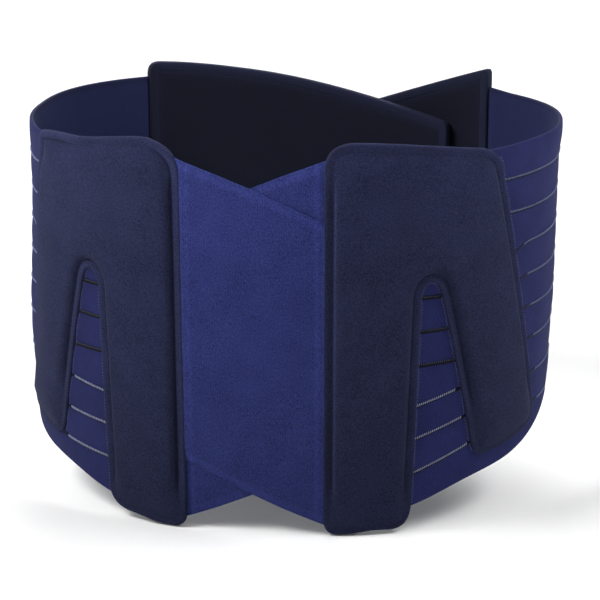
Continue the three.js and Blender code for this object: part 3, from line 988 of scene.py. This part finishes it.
def pad_faces(side):
    """The cover's upper and lower faces, as functions of the distance to its edge, u and v."""

    def lowest(u, v):
        return PAD_UNDER + (PAD_REAR - PAD_UNDER) * past_elastic(u, v, side)

    def under(d, u, v):
        full = lowest(u, v)
        mid = 0.5 * (RIM_TOP + full)
        return mid + (full - mid) * edge_round(RIM_ROUND)(d)

    def upper(d, u, v):
        top, foot = pad_ends(u, v)
        mid = 0.5 * (RIM_TOP + lowest(u, v))
        rim = mid + (RIM_TOP - mid) * edge_round(RIM_ROUND)(d)
        # The rim curls up from the groove to its edge, and fades out at the pad's feet.
        rim = rim - (RIM_CURL - 0.6 * foot) * smooth(1.0, GROOVE_AT - 0.3, d)
        # Along the top it is slightly wavy.
        rim = rim + 0.35 * top * np.sin(u / 6.5 + 1.0) * smooth(0.8, 3, d) * smooth(9, 4, d)
        mark = pressed(u, v, side)
        at = GROOVE_AT - 2.0 * np.minimum(mark, 0)
        rim = rim - GROOVE_DEPTH * mark * np.exp(-((d - at) / (0.6 + 0.5 * top)) ** 2)
        rise = np.clip(d - GROOVE_AT + 2.5 * foot, 0, None)
        length = 2.0 + 5.5 * top + 6.0 * foot
        crown = CROWN_RISE * (1 - np.exp(-(rise / length) ** 1.3)) + 0.7 * smooth(10, 34, d)
        return rim + crown + 0.22 * ripple(u, v, 1.0) * smooth(8, 16, d)

    return upper, under


LINING_INSET = 2.2
LINING_W = -0.95


def pad_lining_swell(d, u, v):
    """Of the face against the body, where the cover's seam shows as a low line."""
    return 0.45 * np.exp(-((d - GROOVE_AT + LINING_INSET) / 0.9) ** 2) - 0.35 * smooth(6, 18, d)


def back_pads():
    """The covers of the two pads, their linings and the pockets of their stays."""
    rows = [0.15, 0.5, 1.2, 2.4, 3.8, 4.7, 5.2, 5.7, 6.2, 6.8, 7.6, 8.8, 10.4, 12.6, 15.5]
    for side in (LEFT, RIGHT):
        outline = pad_outline(side)
        net = flat_net(outline, 2.4, rows, 5.0)
        small = resample(outline, 1.0)
        small = small + inward(small) * LINING_INSET
        lining_net = flat_net(small, 3.2, [0.15, 0.5, 1.0, 2.0, 2.9, 3.5, 4.1, 5.0, 7.5, 10, 14], 7.0)
        n = NAME[side]
        body = f"back_{n}"
        cover = form(f"pad_cover_{n}_velour", net, *pad_faces(side), side, MAT["pad"])
        # Each point's groove depth, which also weights the painted shade in the groove and the painted highlight on
        # the low ridge.
        point_marks(cover, "pressed", lambda u, v: pressed(u, v, side))
        finish_piece(cover, "pad_velour", body, [f"pad_cover_{n}", f"pad_foam_{n}"])
        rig.padded(cover, fill=0.8)
        lining = form(f"pad_lining_{n}_knit", lining_net, face(LINING_W, 0.7, 0.9),
                      face(LINING_W, -0.75, 0.9, pad_lining_swell), side, MAT["pad_lining"])
        finish_piece(lining, "pad_lining", body, [f"pad_lining_{n}"])
        sheet_of(lining, np.ptp(small, axis=0), 0.5 * turn(small), rests_on=[f"elastic_flank_{n}"])
        stay_pockets(side)


POCKETS = {"inner": ((76, 18), (76, 234)), "outer": ((178, 68), (145.5, 224))}
POCKET_HALF = 9.5
POCKET_W = 4.1


def stay_pockets(side):
    """Flat sleeves round the stays, under the crown of the pad."""
    for kind, ends in POCKETS.items():
        low, high = (np.array(p, float) for p in ends)
        along = (high - low) / np.linalg.norm(high - low)
        over = np.array([along[1], -along[0]])
        arc = np.linspace(0, math.pi, 13)[:, None]
        cap = POCKET_HALF * (np.cos(arc) * over + np.sin(arc) * along)
        outline = np.vstack([high + cap, low - cap])
        net = flat_net(outline, 3.0, [0.2, 0.7, 1.6, 3.0], 5.0)
        name = f"stay_pocket_{kind}_{NAME[side]}"
        pocket = form(f"{name}_knit", net, face(POCKET_W, 1.25, 3.5), face(POCKET_W, -1.35, 1.2), side,
                      MAT["pocket"])
        finish_piece(pocket, "pocket_cloth", f"back_{NAME[side]}", [name])


# The two cross bands slope down towards their own side: heights of their edges at these distances.
BAND_HALF = 50.0
BAND_AT = [-60, -46, -22, 0, 22, 46, 60]
BAND_HIGH = {
    "outer": smooth_curve(BAND_AT, [252, 246.3, 238.2, 229.8, 220.3, 208.8, 201], 4.0),
    "inner": smooth_curve(BAND_AT, [254, 248.3, 239.4, 230.2, 221, 209.5, 201.5], 4.0),
}
BAND_LOW = smooth_curve(BAND_AT, [53, 46.5, 36, 25.5, 16, 6.5, 2], 4.0)


def cross_bands():
    """The two brushed bands that cross between the pads, the outer one over the inner one."""
    us = np.concatenate([[-BAND_HALF, -46.8, -46.4], np.linspace(-45.8, 45.8, 48), [46.4, 46.8, BAND_HALF]])

    def outer_face(base, high):
        def height(u, v):
            edge = np.minimum(v - BAND_LOW(u), high(u) - v)
            thin = 1.5 * smooth(10, 0, edge) - 0.3 * np.exp(-((edge - 3.4) / 1.7) ** 2)
            bulge = 0.35 * np.exp(-((np.abs(u) - 42.5) / 2.4) ** 2)
            return base + 0.2 * ripple(u * 1.5, v, 2.0) + bulge - thin
        return height

    for name, side, w0, w1 in (("outer", RIGHT, 2.25, 4.4), ("inner", LEFT, 0.0, 2.05)):
        high = BAND_HIGH[name]
        band = strip(f"cross_band_{name}_velour", us, BAND_LOW, high,
                     lambda u, v: w0 + 0 * u, outer_face(w1, high), side,
                     [MAT["band"], MAT["band_inside"]], spacing=2.6, radius=0.8)
        point_marks(band, "edge", lambda u, v: np.minimum(v - BAND_LOW(u), high(u) - v))
        blend_piece(band, "band_velour", BACK_BEND, RIGHT, [f"cross_band_{name}"])
        sheet_of(band, (2 * BAND_HALF, high(-BAND_HALF) - BAND_LOW(BAND_HALF)),
                 np.trapz(high(us) - BAND_LOW(us), us))


def elastic():
    """The side elastic, in two lengths that meet at ELASTIC_SPLIT, with its stitching."""
    for side in (LEFT, RIGHT):
        n = NAME[side]
        low = ELASTIC_LOW[side]
        cloth = [MAT[f"twill_{n}"], MAT["inside"]]

        def high(u):
            return elastic_high(u, side)

        # At the front hinge the elastic thins, to pass between the panel's lining and its cover.
        def outer(u, v):
            swell = rib_swell(u, v, side) * smooth(FRONT_HINGE - 1, FRONT_HINGE - 7, u)
            return ELASTIC_THICK + swell + 0.7 * smooth(FRONT_HINGE - 4, FRONT_HINGE + 1, u)

        def inner(u, v):
            return 0.02 + 1.5 * smooth(FRONT_HINGE - 4, FRONT_HINGE + 1, u)

        # Narrow columns beside the split give both lengths the same shading there.
        us = np.concatenate([[ELASTIC_START, ELASTIC_START + 0.5, ELASTIC_START + 1.2],
                             np.arange(ELASTIC_START + 3, ELASTIC_SPLIT - 1, 3.6),
                             [ELASTIC_SPLIT - 0.1, ELASTIC_SPLIT]])
        flank = strip(f"elastic_flank_{n}", us, low, high, inner, outer, side, cloth,
                      spacing=2.5, radius=1.2, ends=(True, False))
        blend_piece(flank, "side_elastic", SIDE_BEND, side, [f"back_elastic_{n}"])
        flank_cords, front_cords = cords(side)
        heights = high(us) - low(us)
        sheet_of(flank, (heights.max(), us[-1] - us[0]), np.trapz(heights, us),
                 with_pieces=[flank_cords, zigzag(side)])
        us = np.concatenate([[ELASTIC_SPLIT, ELASTIC_SPLIT + 0.1],
                             np.arange(ELASTIC_SPLIT + 3, FRONT_HINGE - 7, 3.6),
                             np.arange(FRONT_HINGE - 6, ELASTIC_END - 1, 1.0),
                             [ELASTIC_END - 0.5, ELASTIC_END]])
        front = strip(f"elastic_front_{n}", us, low, high, inner, outer, side, cloth,
                      spacing=2.5, radius=1.2, ends=(False, True))
        blend_piece(front, "side_elastic", FRONT_BEND, side, [f"side_elastic_{n}"])
        heights = high(us) - low(us)
        sheet_of(front, (heights.max(), us[-1] - us[0]), np.trapz(heights, us), with_pieces=[front_cords])


# Stitched rows: a dark braid with slanted stitches over it, in one of three shades.
STITCH_PITCH = 1.5
LIGHT, MIDDLE, FAINT, BRAID = 0, 1, 2, 3
STITCH_RADIUS = {LIGHT: 0.34, MIDDLE: 0.27, FAINT: 0.24}
BRAID_HALF = 1.15
CORD_END = FRONT_HINGE - 1  # where the rows end, beside the panel


def braid(row, start, end, threads, shades, half=BRAID_HALF, stitch_end=None):
    """Adds one stitched row between two distances. shades are (distance, shade) steps."""
    us = np.linspace(start, end, max(3, int((end - start) / 3.0) + 1))
    base = ELASTIC_THICK + 0.25
    threads.append((np.stack([us, row_height(row, us) - 0.3, base + 0 * us], -1), half, BRAID, 0.4))
    for u in np.arange(start + 0.6, end - 0.3 if stitch_end is None else stitch_end, STITCH_PITCH):
        shade = [mark for at, mark in shades if u >= at][-1]
        v = float(row_height(row, u)) + 0.3
        rise = 0.8 if shade == LIGHT else 0.6
        points = [(u - 0.4, v - rise, base + 0.25), (u, v, base + 0.6), (u + 0.4, v + rise, base + 0.25)]
        threads.append((points, STITCH_RADIUS[shade], shade, 1.0))


def pad_edge_u(v):
    """Where the pad's outer edge stands at a height, between its corners in pad_outline."""
    return 168.5 + (236 - v) * (214 - 168.5) / (236 - 68)


def cut_out_u(v):
    """The two sides of the pad's cut-out at a height."""
    return 104 + (v - 19) * 4.5 / 135, 147.5 - (v - 54) * 24 / 101


def cords(side):
    """The stitched rows of one side, as one mesh for each length of elastic."""
    n = NAME[side]
    low = ELASTIC_LOW[side]
    flank, front = [], []
    for k, row in enumerate(ROWS[side]):
        if k >= SIDE_ROWS:
            start, end = cut_out_u(row[0])[0] - 1.2, cut_out_u(row[1])[1] + 1.2
            if k < SIDE_ROWS + FAINT_ROWS:
                braid(row, start, end, flank, [(0, FAINT)], 1.45)
            else:
                braid(row, start, end, flank, [(0, LIGHT)], stitch_end=end - 4.4)
        start = pad_edge_u(row[2]) - 1.2
        shades = [(0, MIDDLE)] if k < SIDE_ROWS else [(0, FAINT), (start + 13, MIDDLE)]
        half = BRAID_HALF if k < SIDE_ROWS else 1.0
        reach = np.arange(start, CORD_END, 1.0)
        clear = reach[row_height(row, reach) > low(reach) + 3]
        stop = min(CORD_END, float(clear[-1]))
        braid(row, start, min(stop, ELASTIC_SPLIT), flank, shades, half)
        if stop > ELASTIC_SPLIT + 4:
            braid(row, ELASTIC_SPLIT, stop, front, [(0, shades[-1][1])], half)
    mats = [MAT["cord_light"], MAT["cord_middle"], MAT["cord_faint"], MAT["cord_dark"]]
    flank = tubes(f"rib_cords_flank_{n}", flank, 6, side, mats)
    blend_piece(flank, "side_elastic", SIDE_BEND, side)
    front = tubes(f"rib_cords_front_{n}", front, 6, side, mats)
    blend_piece(front, "side_elastic", FRONT_BEND, side)
    return flank, front


def zigzag(side):
    """Zigzag stitching on the elastic, beside the pad's outer edge and in its cut-out."""
    outline = resample(pad_outline(side), 1.0)
    outward = -inward(outline)
    u, v = outline.T
    outer = (u > 150) & (v < 243) & (u > pad_edge_u(v) - 6)
    inner = (u > 103) & (u < 151) & (v < 168)
    runs = []
    for where, offset, swing in ((outer, 1.4, 0.75), (inner, 0.55, 0.5)):
        row = outline + outward * offset
        idx = np.where(where & (row[:, 1] > ELASTIC_LOW[side](row[:, 0]) + 2.5))[0]
        for part in np.split(idx, np.where(np.diff(idx) > 1)[0] + 1):
            line = resample(row[part], 1.05, closed=False)
            out = np.stack([-np.gradient(line[:, 1]), np.gradient(line[:, 0])], -1)
            out /= np.linalg.norm(out, axis=1)[:, None]
            p = line + out * (swing * (np.arange(len(line)) % 2 * 2 - 1))[:, None]
            w = ELASTIC_THICK + rib_swell(p[:, 0], p[:, 1], side) + 0.1
            runs.append((np.column_stack([p, w]), 0.22, 0, 1.0))
    obj = tubes(f"edge_zigzag_{NAME[side]}", runs, 4, side, [MAT["zigzag"]])
    return blend_piece(obj, "side_elastic", SIDE_BEND, side)


# The binding's cross-section: (distance in from the panel's edge, w) points, round both faces.
BINDING_PROFILE = [
    (6.2, -0.15), (6.1, -0.42), (5.5, -0.55), (3.0, -0.75), (1.2, -0.7), (0.35, -0.35), (0.0, 0.3),
    (-0.1, 2.4),
    (0.0, 4.6), (0.35, 5.4), (1.2, 5.8), (3.0, 5.88), (5.3, 5.8), (5.9, 5.55), (6.0, 4.95), (5.4, 4.85),
    (1.5, 4.8), (1.2, 2.4), (1.5, 0.0), (5.4, -0.05),
]


LINING_MID = 0.6
COVER_MID = 3.1


def front_lining_swell(d, u, v):
    return -(0.5 + 0.2 * ripple(u, v, 3.0)) * smooth(2.0, 7.0, d)


def front_cover_swell(d, u, v):
    return (0.35 + 0.3 * ripple(u, v, 4.0)) * smooth(4.5, 12, d)


def front_panels():
    """The two closure panels: lining, cover and binding."""
    for side, outline in ((LEFT, left_panel_outline()), (RIGHT, right_panel_outline())):
        n, tuck = NAME[side], TUCK[side]
        body = f"front_{n}"
        loop = resample(outline, 2.6)
        sheet = resample(outline, 1.0)
        sheet = sheet + inward(sheet) * 1.4
        net = flat_net(sheet, 3.4, [0.15, 0.5, 1.0, 2.4, 4.0, 5.5, 8.0], 6.5)
        lining = form(f"front_lining_{n}_knit", net, face(LINING_MID, 0.7, 0.7),
                      face(LINING_MID, -0.75, 0.7, front_lining_swell), side, MAT["lining"], tuck)
        finish_piece(lining, "panel_lining", body, [f"front_lining_{n}"])
        sheet_of(lining, np.ptp(sheet, axis=0), 0.5 * turn(sheet), rests_on=[])
        cover = form(f"front_cover_{n}_velour", net, face(COVER_MID, 1.8, 1.5, front_cover_swell),
                     face(COVER_MID, -1.7, 1.5), side, MAT["cover"], tuck)
        finish_piece(cover, "panel_cover", body, [f"front_cover_{n}", f"front_core_{n}"])
        binding = sweep(f"front_binding_{n}_edge", loop, BINDING_PROFILE, side, MAT[f"binding_{n}"], tuck)
        finish_piece(binding, "panel_binding", body, [f"front_binding_{n}"])


def patch(name, corners, w0, w1, side, material, slot, node):
    """A flat patch with straight sides, between the heights w0 and w1."""
    outline = path(corners[0], *[(c,) for c in corners[1:]])
    net = flat_net(outline, 3.0, [0.3, 0.9, 2.0, 4.0], 6.0)
    mid, half = 0.5 * (w0 + w1), 0.5 * (w1 - w0)
    piece = form(name, net, face(mid, half, 0.8), face(mid, -half, 0.8), side, material, TUCK[side])
    finish_piece(piece, slot, f"front_{NAME[side]}", [node])


def patches():
    """The closure's hooks, inside the right panel, and its loops, outside the left one."""
    a, b = FRONT_HINGE + 76, FRONT_HINGE + 165
    patch("hook_patch_nylon", [(a, 142), (b, 160), (b, 192), (a, 218)], -1.6, -0.45, RIGHT,
          MAT["hook"], "hook_tape", "hook_patch")
    a, b = FRONT_HINGE + 62, FRONT_HINGE + 219
    patch("loop_patch_brushed", [(a, 126), (b, 156), (b, 208), (a, 234)], 4.9, 6.3, LEFT,
          MAT["loop"], "loop_tape", "loop_patch")


def hidden_nodes():
    """The CAD nodes that stay: the stays, inside the pads and panels."""
    for name, obj in frame["nodes"].items():
        if name.startswith(("stay_inner", "stay_outer", "front_stay")):
            obj.data.materials.clear()
            obj.data.materials.append(MAT["steel"])


back_pads()
cross_bands()
elastic()
front_panels()
patches()
hidden_nodes()

# ---- stage, light and camera


AZIMUTH = math.radians(9.4)
ELEVATION = math.radians(15.6)
DISTANCE = 1.812
LENS = 157.25
FLOOR_RADIUS = 4.2
# Lights on the object: name, place, size and power.
LIGHTS = [
    ("key", (-0.7, -0.47, 0.92), 0.5, 10.2),
    ("front", (-0.4, -0.74, 0.92), 0.5, 1.9),
    ("side", (0.86, 0.02, 0.88), 0.5, 7.4),
    ("behind", (-0.3, 1.0, 0.95), 0.6, 8.5),
]


def area_light(name, at, aim, size, power):
    """A round light at a place, turned towards another."""
    data = bpy.data.lights.new(name, "AREA")
    data.shape = "DISK"
    data.size = size
    data.energy = power
    obj = bpy.data.objects.new(name, data)
    obj.location = at
    obj.rotation_euler = (Vector(aim) - Vector(at)).to_track_quat("-Z", "Y").to_euler()
    bpy.context.scene.collection.objects.link(obj)
    return obj


def stage():
    """A plain pale floor, a white world and the lights."""
    bpy.ops.mesh.primitive_circle_add(vertices=96, radius=FLOOR_RADIUS, fill_type="NGON",
                                      location=(0, 0, -0.0008))
    floor = bpy.context.object
    floor.name = "floor"
    m = bpy.data.materials.new("floor")
    m.use_nodes = True
    shader = m.node_tree.nodes["Principled BSDF"]
    shader.inputs["Base Color"].default_value = (0.86, 0.86, 0.86, 1)
    shader.inputs["Roughness"].default_value = 0.9
    floor.data.materials.append(m)
    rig.stage(floor)
    world = bpy.context.scene.world or bpy.data.worlds.new("soft")
    bpy.context.scene.world = world
    world.use_nodes = True
    nodes, links = world.node_tree.nodes, world.node_tree.links
    sky = nodes["Background"]
    sky.inputs["Color"].default_value = (1, 1, 1, 1)
    # White at the horizon, where it shows behind the floor, and dim overhead.
    way = nodes.new("ShaderNodeTexCoord")
    split = nodes.new("ShaderNodeSeparateXYZ")
    fade = nodes.new("ShaderNodeMapRange")
    for k, v in (("From Min", 0.03), ("From Max", 0.2), ("To Min", 1.0), ("To Max", 0.12)):
        fade.inputs[k].default_value = v
    links.new(way.outputs["Generated"], split.inputs[0])
    links.new(split.outputs[2], fade.inputs["Value"])
    links.new(fade.outputs["Result"], sky.inputs["Strength"])
    for name, at, size, power in LIGHTS:
        area_light(name, at, (0, 0, 0.17), size, power)
    # Downward lights round the object keep the floor pale in every view without lighting the object.
    for k in range(6):
        angle = AZIMUTH + math.radians(60 * k)
        at = (2.9 * math.sin(angle), 2.9 * math.cos(angle), 2.4)
        light = area_light(f"floor_{k}", at, (at[0], at[1], 0), 2.8, 42)
        light.data.spread = math.radians(85)


def camera():
    """The photograph's view, as fitted to the belt's outline."""
    back = Vector((math.sin(AZIMUTH) * math.cos(ELEVATION), -math.cos(AZIMUTH) * math.cos(ELEVATION),
                   math.sin(ELEVATION)))
    right = Vector((math.cos(AZIMUTH), math.sin(AZIMUTH), 0))
    up = back.cross(right)
    aim = Vector((0, 0, 0.130)) + right * 0.0054 - up * 0.0141
    data = bpy.data.cameras.new("camera")
    data.sensor_width = 36
    data.lens = LENS
    obj = bpy.data.objects.new("camera", data)
    obj.matrix_world = Matrix((right, up, back)).transposed().to_4x4()
    obj.location = aim + back * DISTANCE
    bpy.context.scene.collection.objects.link(obj)
    bpy.context.scene.camera = obj


stage()
camera()
bpy.context.scene.view_settings.view_transform = "Standard"

with open("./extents.json", "w") as f:
    json.dump({"cad": CAD_BOX, "visual": [list(p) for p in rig.bounds()]}, f)
